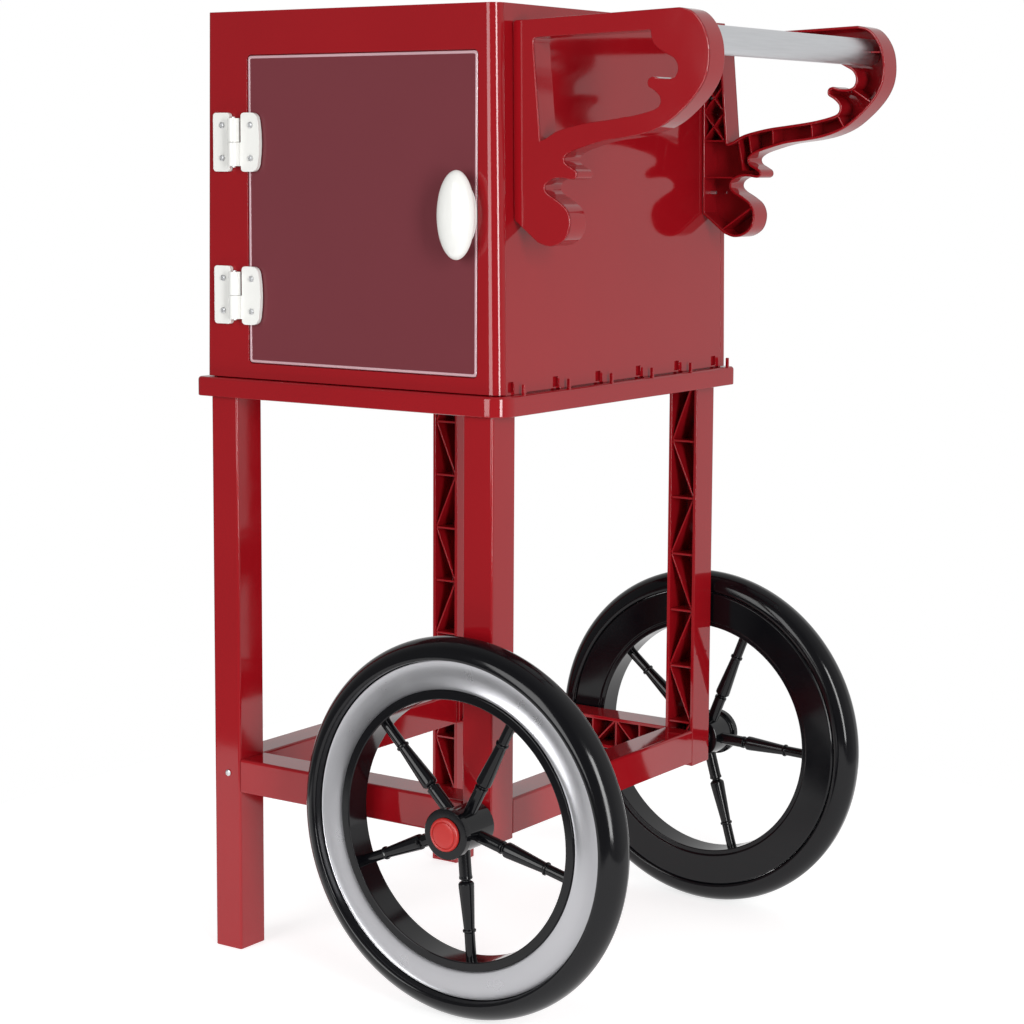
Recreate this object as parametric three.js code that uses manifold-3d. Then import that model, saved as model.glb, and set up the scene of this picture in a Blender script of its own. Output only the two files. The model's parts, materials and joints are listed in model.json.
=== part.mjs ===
// Wheeled storage stand of a fairground-style popcorn maker.
// Millimetres, +Z up, +X towards the push handle, +Y towards the back.
// The origin is on the floor, under the middle of the whole part.
// Inside the group `cart` the local origin is on the floor under the cabinet's front right corner.

import * as THREE from 'three';
import { mergeVertices } from 'three/addons/utils/BufferGeometryUtils.js';
import Module from 'manifold-3d';

const wasm = await Module();
wasm.setup();

// ---------------------------------------------------------------- driving dimensions

const gap = 0.3; // left between pieces that touch
const overshoot = 1; // how far a cutting tool runs past the face it opens

const cabinet = { width: 295, depth: 348, bottom: 484, top: 781, wall: 3, taper: 4, corner: 4, post: 11, wrap: 9 };
const lap = { depth: 1.5, reach: 6 }; // tongue behind the seam between a wrapped wall and a side panel
const tray = { overhang: 7, thickness: 16, deck: 3, skirt: 3, corner: 6, post: 18 };
const lid = { thickness: 4, recess: 1.2, recessMargin: 14, skirt: 10 };
const hook = { count: 6, first: 25, pitch: 63.4, width: 2.2, out: 4, thickness: 2.6, height: 8 };
const slot = { first: 15, pitch: 62.3, width: 7.5, low: 2.2, high: 10.2 };
const slit = { after: 12, length: 47, height: 0.6 }; // cut in the side panel's bottom edge between hooks

const door = { left: -249, right: -22, bottom: 497.6, top: 745.4, thickness: 3, corner: 3 };
const rebate = { clearance: 0.8, depth: 3.6, ledge: 4, thickness: 6.6, margin: 10, corner: 8 };
const hinge = { axisX: -259.5, axisY: -5.6, knuckle: 5, pin: 1.5, leaf: 3.6, endGap: 4.5 };
const hingeReach = { frame: 23.5, door: 25.5 };
const leafScrewInset = { low: 11, high: 10 };
const leafScrewX = { frame: hinge.axisX - 13.5, door: hinge.axisX + 16.5 };
const hinges = { upper: [652.5, 700], lower: [528.5, 576] };
const knob = { x: -33, z: 621.5, halfWidth: 16.5, halfHeight: 34 };

const leg = { width: 28, depth: 30, wall: 3, frontY: -2, backY: 338, leftX: -289, rightX: -33 };
const rail = { bottom: 135.6, top: 164.2 };
const rib = { thickness: 1.8, pitch: 50, inset: 1.5 };

const bracket = { reach: 167.5, thickness: 23, frontY: 20, backY: 329, web: 2.5, wall: 2.2 };
const bracketSteps = 1; // straight stretches per drawn point
const bar = { x: 143, z: 752.5, radius: 11, bore: 9.6 };

const wheel = { radius: 150, x: -17, frontOffset: 21.5, backOffset: 15, legClearance: 3 };
const hubSize = { radius: 17.5, flange: 20, out: -22.5, capBore: 12.2, capDepth: 8 };
const axle = { radius: 5, bore: 5.4, endInset: 19 };
const pushNut = { radius: 9, y: [-16.8, -15.6] };
const washerRadius = 10;
const bush = { radius: 7.1, collar: 9.5, collarThickness: 0.8 };
const roundSteps = 36; // straight stretches round a wheel

// Pan-head screws: head radius and height, shank radius, length under the head, and clearance hole.
const screws = {
  frameLeaf: { head: 2.6, height: 1.3, shank: 1.4, length: 11, hole: 1.8 },
  doorLeaf: { head: 2.6, height: 1.3, shank: 1.4, length: 7.2, hole: 1.8 },
  knob: { head: 3.6, height: 1.6, shank: 1.5, length: 16, hole: 2.1 },
  rail: { head: 2.8, height: 1.4, shank: 2, length: 40, hole: 2.3 },
  bracket: { head: 3.4, height: 1.8, shank: 1.5, length: 11, hole: 2 },
};

const trayLeftX = -cabinet.width - tray.overhang;
const frontWheelY = leg.frontY - wheel.frontOffset;
const backWheelY = leg.backY + wheel.backOffset;
const panelBottom = cabinet.bottom + 0.5;

// ---------------------------------------------------------------- materials

const plastic = (color, roughness) => new THREE.MeshStandardMaterial({ color, roughness, metalness: 0 });
const metal = (color, roughness) => new THREE.MeshStandardMaterial({ color, roughness, metalness: 1 });

const red = plastic('#a01c20', 0.15);
const capRed = plastic('#c8281f', 0.25);
const black = plastic('#15161a', 0.2);
const silver = plastic('#b9bac0', 0.35);
const white = plastic('#f4f4f0', 0.25);
const clear = new THREE.MeshStandardMaterial({ color: '#f2e9ea', roughness: 0.05, transparent: true, opacity: 0.3 });
const steel = metal('#b8babd', 0.3);
const aluminium = metal('#c3c5c8', 0.35);

// ---------------------------------------------------------------- shapes

function solidOf(geometry) {
  const bare = geometry.clone();
  bare.deleteAttribute('normal');
  bare.deleteAttribute('uv');
  const merged = mergeVertices(bare, 1e-4);
  const corners = [];
  for (let i = 0; i < merged.index.count; i += 3) {
    const [a, b, c] = [merged.index.getX(i), merged.index.getX(i + 1), merged.index.getX(i + 2)];
    if (a !== b && b !== c && c !== a) {
      corners.push(a, b, c);
    }
  }
  const vertProperties = merged.attributes.position.array;
  return new wasm.Manifold(new wasm.Mesh({ numProp: 3, vertProperties, triVerts: Uint32Array.from(corners) }));
}

function geometryOf(solid) {
  const mesh = solid.getMesh();
  const geometry = new THREE.BufferGeometry();
  geometry.setAttribute('position', new THREE.BufferAttribute(mesh.vertProperties, 3));
  geometry.setIndex(new THREE.BufferAttribute(mesh.triVerts, 1));
  geometry.computeVertexNormals();
  return geometry;
}

const join = (first, ...rest) => rest.reduce((sum, next) => sum.add(next), first);
const cut = (body, ...tools) => tools.reduce((left, tool) => left.subtract(tool), body);

function blockGeometry([x0, x1], [y0, y1], [z0, z1]) {
  const geometry = new THREE.BoxGeometry(x1 - x0, y1 - y0, z1 - z0);
  return geometry.translate((x0 + x1) / 2, (y0 + y1) / 2, (z0 + z1) / 2);
}

const block = (x, y, z) => solidOf(blockGeometry(x, y, z));

// `post` is the radius of the corner at x1 and y0, where it differs from the other three.
function roundedRectangle([x0, x1], [y0, y1], radius, post = radius) {
  const shape = new THREE.Shape();
  shape.absarc(x1 - post, y0 + post, post, -Math.PI / 2, 0);
  shape.absarc(x1 - radius, y1 - radius, radius, 0, Math.PI / 2);
  shape.absarc(x0 + radius, y1 - radius, radius, Math.PI / 2, Math.PI);
  shape.absarc(x0 + radius, y0 + radius, radius, Math.PI, 1.5 * Math.PI);
  shape.closePath();
  return shape;
}

// An outline drawn in X and Y, raised from z0 to z1.
function raised(shape, [z0, z1], curveSegments = 4) {
  const geometry = new THREE.ExtrudeGeometry(shape, { depth: z1 - z0, bevelEnabled: false, curveSegments });
  return geometry.translate(0, 0, z0);
}

// An outline drawn in X and Z, running from y0 back to y1.
function across(shape, [y0, y1], curveSegments = 4) {
  const geometry = new THREE.ExtrudeGeometry(shape, { depth: y1 - y0, bevelEnabled: false, curveSegments });
  return geometry.rotateX(Math.PI / 2).translate(0, y1, 0);
}

// A solid turned about the Y axis from [radius, y] points, listed so that y falls along the outside.
function turned(profile, steps, closed = false) {
  const points = profile.map(([radius, y]) => new THREE.Vector2(radius, y));
  if (closed) {
    points.push(points[0].clone());
  }
  return new THREE.LatheGeometry(points.reverse(), steps);
}

function rod(radius, [y0, y1], steps = 16) {
  return turned([[0, y1], [radius, y1], [radius, y0], [0, y0]], steps);
}

function tube(outer, inner, [y0, y1], steps = 24) {
  return turned([[inner, y1], [outer, y1], [outer, y0], [inner, y0]], steps, true);
}

// A thin plate in X and Z between two points, running from y0 to y1.
function strip([ax, az], [bx, bz], thickness, y) {
  const along = new THREE.Vector2(bx - ax, bz - az);
  const side = new THREE.Vector2(-along.y, along.x).setLength(thickness / 2);
  const shape = new THREE.Shape([
    new THREE.Vector2(ax - side.x, az - side.y),
    new THREE.Vector2(bx - side.x, bz - side.y),
    new THREE.Vector2(bx + side.x, bz + side.y),
    new THREE.Vector2(ax + side.x, az + side.y),
  ]);
  return solidOf(across(shape, y));
}

// ---------------------------------------------------------------- the assembly's groups

const part = new THREE.Group();
const cart = new THREE.Group();
cart.position.set(-(bracket.reach + trayLeftX) / 2, -(frontWheelY + backWheelY) / 2, 0);
part.add(cart);

function piece(name, material, solid, parent = cart) {
  const mesh = new THREE.Mesh(geometryOf(solid), material);
  mesh.name = name;
  parent.add(mesh);
  return mesh;
}

// ---------------------------------------------------------------- cabinet

// The cabinet's sides lean in by `taper` from its bottom to its top.
function lean(geometry) {
  const middle = -cabinet.width / 2;
  const shrinkPerMillimetre = cabinet.taper / (cabinet.width / 2) / (cabinet.top - cabinet.bottom);
  const position = geometry.attributes.position;
  for (let i = 0; i < position.count; i++) {
    const scale = 1 - shrinkPerMillimetre * (position.getZ(i) - cabinet.bottom);
    position.setX(i, middle + (position.getX(i) - middle) * scale);
  }
  return geometry;
}

const panelFaceX = (z) => (-cabinet.taper * (z - cabinet.bottom)) / (cabinet.top - cabinet.bottom);
const wallZ = [panelBottom, cabinet.top];

// A wall with rounded corners that wrap round to the sides: `front` is true for the front one.
// A tongue on each end laps behind the side panel, so that no light shows through the seam.
function wrappedWall(front) {
  const { width, depth, wall, corner, post, wrap } = cabinet;
  const outer = solidOf(lean(raised(roundedRectangle([-width, 0], [0, depth], corner, post), wallZ)));
  const hollow = roundedRectangle([-width + wall, -wall], [wall, depth - wall], corner - wall, post - wall);
  const shell = cut(outer, solidOf(lean(raised(hollow, [wallZ[0] - overshoot, wallZ[1] + overshoot]))));
  const rest = front ? [wrap, depth + overshoot] : [-overshoot, depth - wrap];
  const wrapped = cut(shell, block([-width - overshoot, overshoot], rest, [0, cabinet.top + overshoot]));
  const inwards = (near, far) => (front ? [near, far] : [depth - far, depth - near]);
  const tongueZ = [panelBottom, cabinet.top - lid.thickness - lid.skirt - overshoot];
  const tongues = [-width + wall, -wall].map((face, index) => {
    const side = index ? -1 : 1;
    const span = (from, to) => [face + side * from, face + side * to].sort((a, b) => a - b);
    const root = lean(blockGeometry(span(-0.5, gap + lap.depth), inwards(wrap - 3, wrap), tongueZ));
    const tongue = lean(blockGeometry(span(gap, gap + lap.depth), inwards(wrap - 3, wrap + lap.reach), tongueZ));
    return join(solidOf(root), solidOf(tongue));
  });
  return join(wrapped, ...tongues);
}

function doorOutline(grow, corner) {
  return roundedRectangle([door.left - grow, door.right + grow], [door.bottom - grow, door.top + grow], corner);
}

const screwHeights = ([low, high]) => [low + leafScrewInset.low, high - leafScrewInset.high];

function hole(x, z, radius, y, steps = 8) {
  return solidOf(rod(radius, y, steps).translate(x, 0, z));
}

function frontFrame() {
  const thickened = doorOutline(rebate.margin, rebate.corner);
  const thickening = solidOf(across(thickened, [cabinet.wall - 0.5, rebate.thickness]));
  const rebateTool = solidOf(across(doorOutline(rebate.clearance, door.corner + 1), [-overshoot, rebate.depth]));
  const opening = solidOf(across(doorOutline(-rebate.ledge, door.corner), [-overshoot, rebate.thickness + overshoot]));
  let frame = cut(join(wrappedWall(true), thickening), rebateTool, opening);
  for (const span of Object.values(hinges)) {
    for (const z of screwHeights(span)) {
      frame = cut(frame, hole(leafScrewX.frame, z, screws.frameLeaf.hole, [-overshoot, rebate.thickness + overshoot]));
    }
  }
  return cut(frame, hole(catchBody.pegX, catchBody.z, catchBody.hole, [rebate.depth + 1, rebate.thickness + overshoot]));
}

const bracketScrewHeights = [636, 716];
const bracketMiddles = [bracket.frontY + bracket.thickness / 2, bracket.backY - bracket.thickness / 2];
const hookAt = (index) => hook.first + index * hook.pitch;

function sidePanel(side) {
  const { width, depth, wall, wrap } = cabinet;
  const x = side > 0 ? [-wall, 0] : [-width, -width + wall];
  let panel = solidOf(lean(blockGeometry(x, [wrap + gap, depth - wrap - gap], wallZ)));
  const outerX = side > 0 ? 0 : -width;
  const reach = [outerX - wall - overshoot, outerX + wall + overshoot];
  for (let i = 0; i < hook.count; i++) {
    const y = slot.first + i * slot.pitch;
    const z = [cabinet.bottom + slot.low, cabinet.bottom + slot.high];
    panel = cut(panel, block(reach, [y - slot.width / 2, y + slot.width / 2], z));
    const from = hookAt(i) + slit.after;
    panel = cut(panel, block(reach, [from, from + slit.length], [0, panelBottom + slit.height]));
  }
  if (side > 0) {
    for (const y of bracketMiddles) {
      for (const z of bracketScrewHeights) {
        const bore = rod(screws.bracket.hole, [-12, 12]).rotateZ(Math.PI / 2).translate(0, y, z);
        panel = cut(panel, solidOf(bore));
      }
    }
  }
  return panel;
}

// The lid drops in between the walls and lies flush with their top edges.
function cabinetLid() {
  const { width, depth, wall, taper, corner, post, top } = cabinet;
  const { thickness, recess, recessMargin, skirt } = lid;
  const edge = wall + gap;
  const x = [-width + taper, -taper];
  const within = (d) => [[x[0] + d, x[1] - d], [d, depth - d]];
  const outline = roundedRectangle(...within(edge), corner - wall, post - wall);
  const plate = solidOf(raised(outline, [top - thickness, top]));
  const field = solidOf(raised(roundedRectangle(...within(recessMargin), corner), [top - recess, top + overshoot]));
  const ring = roundedRectangle(...within(edge + 5), corner);
  ring.holes.push(roundedRectangle(...within(edge + 7), corner - 2));
  const lip = solidOf(raised(ring, [top - thickness - skirt, top - thickness + 0.5]));
  return cut(join(plate, lip), field);
}

// ---------------------------------------------------------------- base tray

const legCorners = [
  { name: 'leg_front_left', x: leg.leftX, front: true, bottom: 0 },
  { name: 'leg_back_left', x: leg.leftX, front: false, bottom: 0 },
  { name: 'leg_front_right', x: leg.rightX, front: true, bottom: rail.bottom - 3.6 },
  { name: 'leg_back_right', x: leg.rightX, front: false, bottom: rail.bottom - 3.6 },
];
const legY = (front) => (front ? [leg.frontY, leg.frontY + leg.depth] : [leg.backY - leg.depth, leg.backY]);

function baseTray() {
  const { overhang, thickness, deck, skirt, corner, post } = tray;
  const { width, depth, bottom } = cabinet;
  const x = [trayLeftX, overhang];
  const y = [-overhang, depth + overhang];
  const shell = solidOf(raised(roundedRectangle(x, y, corner, post), [bottom - thickness, bottom]));
  const within = ([low, high]) => [low + skirt, high - skirt];
  const inside = roundedRectangle(within(x), within(y), corner - skirt, post - skirt);
  let body = cut(shell, solidOf(raised(inside, [0, bottom - deck])));
  const ribZ = [bottom - thickness + 2, bottom - deck + 0.5];
  for (const ribX of [-width * 0.7, -width * 0.3]) {
    body = join(body, block([ribX - 1, ribX + 1], [y[0] + 1, y[1] - 1], ribZ));
  }
  for (const ribY of [depth * 0.3, depth * 0.5, depth * 0.7]) {
    body = join(body, block([x[0] + 1, x[1] - 1], [ribY - 1, ribY + 1], ribZ));
  }
  for (const { x: legX, front } of legCorners) {
    const socket = [legX - 0.4, legX + leg.width + 0.4];
    const [y0, y1] = legY(front);
    const collar = block([socket[0] - 2, socket[1] + 2], [y0 - 2.4, y1 + 2.4], ribZ);
    body = cut(join(body, collar), block(socket, [y0 - 0.4, y1 + 0.4], [0, bottom - deck]));
  }
  return hooked(body);
}

// Upright hooks stand along both edges of the tray, outside the side panels.
function hooked(body) {
  let sum = body;
  for (let i = 0; i < hook.count; i++) {
    const y = [hookAt(i) - hook.width / 2, hookAt(i) + hook.width / 2];
    const z = [cabinet.bottom - 1, cabinet.bottom + hook.height];
    const far = hook.out + hook.thickness;
    sum = join(sum, block([hook.out, far], y, z));
    sum = join(sum, block([-cabinet.width - far, -cabinet.width - hook.out], y, z));
  }
  return sum;
}

// ---------------------------------------------------------------- legs and rails

// A channel with its open side at y = 0, its length along Z from 0, and zigzag ribs inside.
function ribbedChannel(width, depth, length, stations, endWall) {
  const { wall } = leg;
  let channel = solidOf(blockGeometry([0, width], [0, depth], [0, length]));
  const hollow = block([wall, width - wall], [-overshoot, depth - wall], [endWall, length - endWall]);
  channel = cut(channel, hollow);
  const y = [rib.inset, depth - wall + 0.5];
  const [left, right] = [wall - 0.5, width - wall + 0.5];
  stations.forEach((z, index) => {
    if (z > endWall && z < length - endWall) {
      channel = join(channel, strip([left, z], [right, z], rib.thickness, y));
    }
    const next = stations[index + 1];
    if (next !== undefined) {
      const [from, to] = index % 2 ? [right, left] : [left, right];
      channel = join(channel, strip([from, next - 1], [to, z + 1], rib.thickness * 0.8, y));
    }
  });
  return geometryOf(channel);
}

const legTop = cabinet.bottom - tray.deck - gap;
const axleHole = (radius, y) => hole(wheel.x, wheel.radius, radius, y, 16);
const railScrew = { x: leg.leftX + leg.width / 2 + 1.4, z: 151 };

function makeLeg({ x, front, bottom }) {
  const trayBottom = cabinet.bottom - tray.thickness;
  const stations = [];
  for (let z = trayBottom - 48; z > bottom + 20; z -= rib.pitch) {
    stations.push(z - bottom);
  }
  stations.unshift(legTop - bottom - 3);
  stations.push(3);
  const channel = ribbedChannel(leg.width, leg.depth, legTop - bottom, stations, 3);
  const [y0, y1] = legY(front);
  if (front) {
    channel.rotateZ(Math.PI).translate(x + leg.width, y1, bottom);
  } else {
    channel.translate(x, y0, bottom);
  }
  const solid = solidOf(channel);
  const outerY = front ? y0 : y1;
  const inwards = front ? 1 : -1;
  const from = (near, far) => [outerY + inwards * near, outerY + inwards * far].sort((a, b) => a - b);
  if (bottom === 0) {
    return cut(solid, hole(railScrew.x, railScrew.z, screws.rail.hole, from(-overshoot, leg.depth + overshoot)));
  }
  const bushHole = axleHole(bush.radius + 0.4, from(-overshoot, leg.wall + overshoot));
  const collarSpace = axleHole(bush.collar + 1, from(leg.wall, leg.depth + overshoot));
  return cut(solid, bushHole, collarSpace);
}

function evenStations(length, pitch) {
  const count = Math.round(length / pitch);
  return Array.from({ length: count + 1 }, (_, i) => 3 + (i * (length - 6)) / count);
}

// Front and back rails lie along X. The open side faces the middle of the stand at the front
// rail and forwards at the back rail.
function crossRail(front) {
  const from = leg.leftX + leg.width + gap;
  const length = leg.rightX - gap - from;
  const height = rail.top - rail.bottom;
  const channel = ribbedChannel(height, leg.depth, length, evenStations(length, 25), 3);
  channel.rotateY(Math.PI / 2);
  const [y0, y1] = legY(front);
  if (front) {
    channel.rotateX(Math.PI).translate(from, y1, rail.bottom);
  } else {
    channel.translate(from, y0, rail.top);
  }
  return solidOf(channel);
}

// Left and right rails lie along Y, open underneath.
function sideRail(x) {
  const from = leg.frontY + leg.depth + gap;
  const length = leg.backY - leg.depth - gap - from;
  const height = rail.top - rail.bottom;
  const channel = ribbedChannel(leg.width, height, length, evenStations(length, 56), 3);
  channel.rotateX(-Math.PI / 2);
  channel.rotateZ(Math.PI);
  channel.rotateY(Math.PI);
  const box = new THREE.Box3().setFromBufferAttribute(channel.attributes.position);
  channel.translate(x - box.min.x, from - box.min.y, rail.bottom - box.min.z);
  return solidOf(channel);
}

// ---------------------------------------------------------------- push handle

function bracketOutline() {
  const foot = 618;
  const top = 768;
  const p = (x, z) => new THREE.Vector2(x, z);
  const shape = new THREE.Shape();
  shape.moveTo(panelFaceX(top) + 0.4, top);
  shape.lineTo(142, 773.6);
  shape.splineThru([p(152, 771), p(160, 763.5), p(165.5, 753), p(167.5, 741), p(166.8, 730)]);
  shape.splineThru([p(163.5, 720.5), p(157, 711), p(147, 701), p(134, 691.2), p(119, 684.8), p(102, 681)]);
  shape.splineThru([p(79, 678), p(63, 674), p(50.5, 670), p(44, 665.5), p(45, 661), p(50, 658), p(54.5, 655)]);
  shape.splineThru([p(54.8, 651), p(51, 649), p(43, 650), p(34.6, 649.6), p(28, 646), p(26.6, 641.5)]);
  shape.splineThru([p(30, 637.5), p(38, 633), p(46, 627), p(49.5, 619), p(48.6, 610.5), p(44.7, 604)]);
  shape.splineThru([p(37, 599.6), p(28.6, 598.7), p(20, 601.5)]);
  shape.lineTo(panelFaceX(foot) + 0.4, foot);
  shape.closePath();
  return shape;
}

function bracketWindow() {
  const p = (x, z) => new THREE.Vector2(x, z);
  const shape = new THREE.Shape();
  shape.moveTo(15, 755);
  shape.lineTo(118, 758);
  shape.splineThru([p(119.5, 750.5), p(124, 745), p(131.7, 740.7), p(138.5, 736.8), p(141.5, 731)]);
  shape.splineThru([p(140, 725), p(135, 722.6), p(127, 722.8), p(121, 724.4), p(116.6, 722.6)]);
  shape.splineThru([p(116.4, 717.6), p(122, 714), p(126.8, 709), p(126, 703), p(118.6, 699.7), p(102, 696)]);
  shape.splineThru([p(78.6, 692.8), p(63, 690.8), p(47, 687.6), p(36, 684.4), p(28, 680), p(22, 677.7)]);
  shape.closePath();
  return shape;
}

// Upright walls that follow a closed outline, half on each side of it.
function wallsAlong(path, thickness, y) {
  const points = path.getPoints(bracketSteps);
  const lap = 0.5;
  const walls = [];
  points.forEach((start, index) => {
    const end = points[(index + 1) % points.length];
    const along = end.clone().sub(start);
    if (along.length() > 1e-3) {
      const extra = along.clone().setLength(lap);
      const from = start.clone().sub(extra);
      const to = end.clone().add(extra);
      walls.push(strip([from.x, from.y], [to.x, to.y], thickness, y));
    }
  });
  return join(...walls);
}

const bracketRibs = [
  [[31, 688], [37, 655]],
  [[41, 692], [46, 662]],
  [[64, 696], [66, 670]],
  [[100, 701], [103, 676]],
  [[122, 706], [134, 686]],
  [[138, 722], [162, 707]],
  [[154, 752], [170, 752]],
  [[18, 598], [46, 624]],
  [[-4, 649], [32, 649]],
  [[-4, 680], [26, 680]],
];

function crossRibs() {
  const ribs = [];
  for (let z = 680; z < 750; z += 24) {
    ribs.push([[-4, z], [19, z + 24]]);
    ribs.push([[19, z], [-4, z + 24]]);
  }
  return ribs;
}

// `inwards` is +1 when the web is at the front and the open side faces back, -1 the other way.
function makeBracket(outerY, inwards) {
  const from = (near, far) => [outerY + inwards * near, outerY + inwards * far].sort((a, b) => a - b);
  const { web, wall, thickness } = bracket;
  const outline = bracketOutline();
  const opening = bracketWindow();
  const walls = join(
    wallsAlong(outline, 2 * wall, from(1, thickness + overshoot)),
    wallsAlong(opening, 2 * wall, from(1, thickness + overshoot)),
  );
  const window = solidOf(across(opening, from(-overshoot, thickness + overshoot), bracketSteps));
  const full = cut(solidOf(across(outline, from(0, thickness), bracketSteps)), window);
  const sheet = cut(solidOf(across(outline, from(0, web), bracketSteps)), window);
  const plates = [...bracketRibs, ...crossRibs()].map(([a, b]) => strip(a, b, 1.4, from(1, thickness - rib.inset)));
  let body = join(sheet, join(walls, ...plates).intersect(full));
  const barSpace = rod(bar.radius + 0.4, from(web, thickness + overshoot), 24);
  body = cut(body, solidOf(barSpace.translate(bar.x, 0, bar.z)));
  body = join(body, solidOf(rod(bar.bore - 0.4, from(1, 14), 24).translate(bar.x, 0, bar.z)));
  for (const z of bracketScrewHeights) {
    const middle = outerY + (inwards * thickness) / 2;
    const boss = rod(4.2, [-8, -panelFaceX(z) - 1]).rotateZ(Math.PI / 2).translate(0, middle, z);
    const bore = rod(screws.bracket.shank + gap, [-7, 9]).rotateZ(Math.PI / 2).translate(0, middle, z);
    body = cut(join(body, solidOf(boss).intersect(full)), solidOf(bore));
  }
  return body;
}

// ---------------------------------------------------------------- fasteners

// A screw along Y: its head faces -Y, with the underside at y = 0 and the shank behind it.
function screw({ head, height, shank, length }) {
  const profile = [
    [0, length],
    [shank, length],
    [shank, 0],
    [head, 0],
    [head, -height * 0.45],
    [head * 0.6, -height],
    [0, -height],
  ];
  return solidOf(turned(profile, 8));
}

function placed(solid, x, y, z, turn = 0) {
  return solidOf(geometryOf(solid).rotateZ(turn).translate(x, y, z));
}

// ---------------------------------------------------------------- door, hinges and knob

const doorY = [gap, gap + door.thickness];
const leafY = [-gap - hinge.leaf, -gap];

function doorPanel() {
  let panel = solidOf(across(doorOutline(0, door.corner), doorY));
  const through = [-overshoot, doorY[1] + overshoot];
  for (const span of Object.values(hinges)) {
    for (const z of screwHeights(span)) {
      panel = cut(panel, hole(leafScrewX.door, z, screws.doorLeaf.hole, through));
    }
  }
  return cut(panel, hole(knob.x, knob.z, screws.knob.hole, through));
}

const upright = (radius, [z0, z1], steps = 12) =>
  solidOf(rod(radius, [z0, z1], steps).rotateX(Math.PI / 2).translate(hinge.axisX, hinge.axisY, 0));

// Each leaf carries one half of the knuckle: the frame leaf the upper half, the door leaf the lower.
function hingeLeaf([low, high], onFrame) {
  const middle = (low + high) / 2;
  const knuckleZ = onFrame ? [middle + gap / 2, high - hinge.endGap] : [low + hinge.endGap, middle - gap / 2];
  const side = onFrame ? -1 : 1;
  const inner = hinge.axisX + side * (hinge.knuckle + 0.9);
  const outer = hinge.axisX + side * hingeReach[onFrame ? 'frame' : 'door'];
  const plateShape = onFrame
    ? roundedRectangle([outer, inner], [low, high], 3)
    : bulgedLeaf(inner, outer, [low, high]);
  const plate = solidOf(across(plateShape, leafY));
  const web = block([hinge.axisX, inner + side].sort((a, b) => a - b), leafY, knuckleZ);
  const body = join(plate, web, upright(hinge.knuckle, knuckleZ));
  const bore = upright(hinge.pin + 0.3, [knuckleZ[0] - overshoot, knuckleZ[1] + overshoot], 8);
  const screwX = onFrame ? leafScrewX.frame : leafScrewX.door;
  const through = [leafY[0] - overshoot, overshoot];
  const holes = screwHeights([low, high]).map((z) => hole(screwX, z, screws.frameLeaf.hole, through));
  return cut(body, bore, ...holes);
}

// The door leaf's outline: straight beside the knuckle, bulging in a shallow arc at its outer edge.
function bulgedLeaf(inner, outer, [low, high]) {
  const shoulder = 5;
  const shape = new THREE.Shape();
  shape.moveTo(inner, low + 3);
  shape.quadraticCurveTo(inner, low, inner + 4, low);
  shape.lineTo(outer - 9, low);
  shape.quadraticCurveTo(outer - 3, low, outer - 1.6, low + shoulder + 1);
  shape.quadraticCurveTo(outer + 1.6, (low + high) / 2, outer - 1.6, high - shoulder - 1);
  shape.quadraticCurveTo(outer - 3, high, outer - 9, high);
  shape.lineTo(inner + 4, high);
  shape.quadraticCurveTo(inner, high, inner, high - 3);
  shape.closePath();
  return shape;
}

function hingePin([low, high]) {
  return upright(hinge.pin, [low + 3.4, high - 3.4], 8);
}

// The knob is an oval turned form: a narrower foot on the door, then a domed grip.
function makeKnob() {
  const profile = [
    [0, 0],
    [0.68, 0],
    [0.66, -5],
    [0.74, -7.6],
    [0.94, -8.8],
    [1, -11],
    [0.985, -13.5],
    [0.92, -16],
    [0.79, -18.3],
    [0.58, -20.2],
    [0.3, -21.4],
    [0, -21.7],
  ];
  const grip = turned(profile, 28).scale(knob.halfWidth, 1, knob.halfHeight);
  const body = solidOf(grip.translate(knob.x, 0, knob.z));
  return cut(body, hole(knob.x, knob.z, 1.9, [-13, overshoot]));
}

const catchPlate = { width: 12, height: 26, thickness: 1.2 };
const catchBody = { pegX: door.right - rebate.ledge + 5, z: knob.z + 22, width: 18, height: 18, depth: 9, hole: 1.2 };

function makeCatchPlate() {
  const x = [knob.x - catchPlate.width / 2, knob.x + 5];
  const y = [doorY[1] + gap, doorY[1] + gap + catchPlate.thickness];
  const plate = block(x, y, [knob.z - 5, knob.z + 5 + catchPlate.height]);
  return cut(plate, hole(knob.x, knob.z, screws.knob.hole, [0, 12]));
}

// A magnet held behind the frame's ledge, facing the plate on the door's back.
function makeCatchMagnet() {
  const y0 = rebate.thickness + gap;
  const z = [catchBody.z - catchBody.height / 2, catchBody.z + catchBody.height / 2];
  const edge = door.right - rebate.ledge;
  const x = [edge - catchBody.width / 2, edge + catchBody.width / 2];
  const body = block(x, [y0, y0 + catchBody.depth], z);
  return cut(body, hole(catchBody.pegX, catchBody.z, catchBody.hole, [0, y0 + 4]));
}

// ---------------------------------------------------------------- wheels

// Local frame of a wheel: centre at the origin, axis along Y, whitewall side facing -Y.
// The tyre is fatter on its outer side; its inner side is flat, to pass the legs.
function tyre() {
  const innerSide = [[133.2, 11], [134.6, 12.6], [137.5, 13], [141.5, 12], [145.3, 9.6], [148.2, 6], [149.7, 2.5]];
  const outerSide = [[149.4, -4.5], [147.6, -8.8], [144.4, -12.8], [140.5, -15.7], [137, -16.8], [134.3, -16.2]];
  const profile = [...innerSide, [wheel.radius, 0], ...outerSide, [133.2, -14]];
  return solidOf(turned(profile, roundSteps, true));
}

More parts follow.
